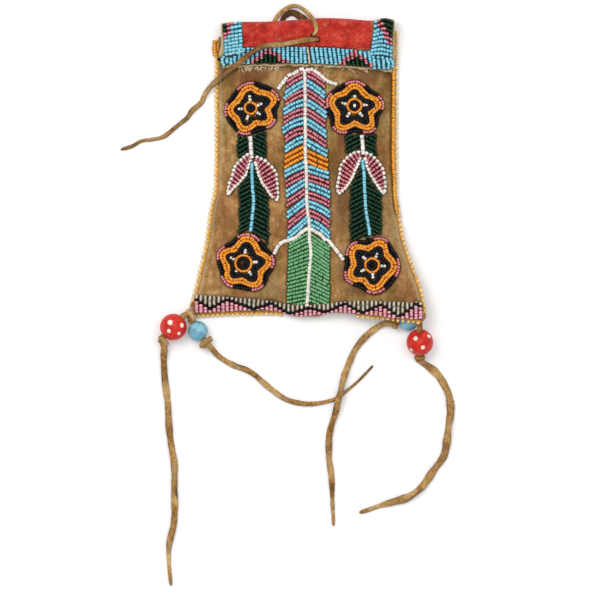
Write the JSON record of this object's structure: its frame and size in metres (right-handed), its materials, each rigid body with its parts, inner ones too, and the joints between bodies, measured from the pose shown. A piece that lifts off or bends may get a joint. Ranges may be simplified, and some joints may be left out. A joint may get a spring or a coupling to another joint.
{
  "type": "strike-a-light bag",
  "caption": "Flared flat hide pouch with a fold-over flap, beaded front, toothed bead edging, and knotted corner thongs with glass beads.",
  "frame": {"origin": "on the flat back face, under the middle of the pouch", "axes": "+Z out of the front, +Y towards the fold of the flap, +X to the right as seen from the front"},
  "size_m": [0.1666, 0.2911, 0.0163],
  "materials": {
    "hide": "soft smoked hide, mottled",
    "red_hide": "hide painted red, worn",
    "thong_hide": "narrow cut hide",
    "light_blue_beads": "opaque glass seed beads",
    "pink_beads": "opaque glass seed beads",
    "dark_green_beads": "dark glass seed beads",
    "green_beads": "opaque glass seed beads",
    "orange_beads": "opaque glass seed beads",
    "black_beads": "near black glass seed beads",
    "white_beads": "opaque glass seed beads",
    "pale_beads": "clear glass seed beads over hide",
    "red_glass": "glossy glass with white spots",
    "blue_glass": "glossy opaque glass"
  },
  "bodies": {
    "pouch": {"back_panel": "hide", "front_panel": "hide", "hem_pink_beads": "pink_beads", "hem_black_row": "black_beads", "hem_pale_beads": "pale_beads", "edging_left_side": "orange_beads", "edging_right_side": "orange_beads", "edging_left_hem": "orange_beads", "edging_right_hem": "orange_beads", "flower_upper_left_base": "black_beads", "flower_upper_left_petals": "orange_beads", "flower_upper_right_base": "black_beads", "flower_upper_right_petals": "orange_beads", "flower_lower_left_base": "black_beads", "flower_lower_left_petals": "orange_beads", "flower_lower_right_base": "black_beads", "flower_lower_right_petals": "orange_beads", "stem_left_upper_leaf": "dark_green_beads", "stem_left_lower_leaf": "dark_green_beads", "stem_right_upper_leaf": "dark_green_beads", "stem_right_lower_leaf": "dark_green_beads", "pink_leaf_left_outer": "pink_beads", "pink_leaf_left_inner": "pink_beads", "pink_leaf_right_outer": "pink_beads", "pink_leaf_right_inner": "pink_beads", "feather_chevron_1_pink": "pink_beads", "feather_chevron_2_blue": "light_blue_beads", "feather_chevron_3_pink": "pink_beads", "feather_chevron_4_blue": "light_blue_beads", "feather_chevron_5_pink": "pink_beads", "feather_chevron_6_blue": "light_blue_beads", "feather_chevron_7_pink": "pink_beads", "feather_chevron_8_blue": "light_blue_beads", "feather_chevron_9_orange": "orange_beads", "feather_chevron_10_blue": "light_blue_beads", "feather_chevron_11_pink": "pink_beads", "feather_chevron_12_blue": "light_blue_beads", "feather_chevron_13_pink": "pink_beads", "feather_chevron_14_blue": "light_blue_beads", "feather_chevron_15_pink": "pink_beads", "feather_chevron_16_blue": "light_blue_beads", "feather_green_base": "green_beads", "feather_white_lines": "white_beads", "glass_bead_red_left": "red_glass", "glass_bead_blue_left": "blue_glass", "glass_bead_blue_right": "blue_glass", "glass_bead_red_right": "red_glass", "thong_red_left": "thong_hide", "thong_blue_left": "thong_hide", "thong_blue_right": "thong_hide", "thong_red_right": "thong_hide", "tie_loop": "thong_hide", "tie_loop_inner": "thong_hide"},
    "flap": {"flap": "red_hide", "flap_left_beads": "light_blue_beads", "flap_right_beads": "light_blue_beads", "flap_lower_beads": "light_blue_beads", "flap_left_triangle": "dark_green_beads", "flap_right_triangle": "dark_green_beads", "tie_tail": "thong_hide"}
  },
  "joints": [
    {"name": "flap_hinge", "type": "hinge", "parent": "pouch", "child": "flap", "pos_m": [0, 0.075, 0.00505], "axis": [-1, 0, 0], "range_deg": [0, 150], "deforming": ["tie_loop", "tie_loop_inner"]}
  ]
}
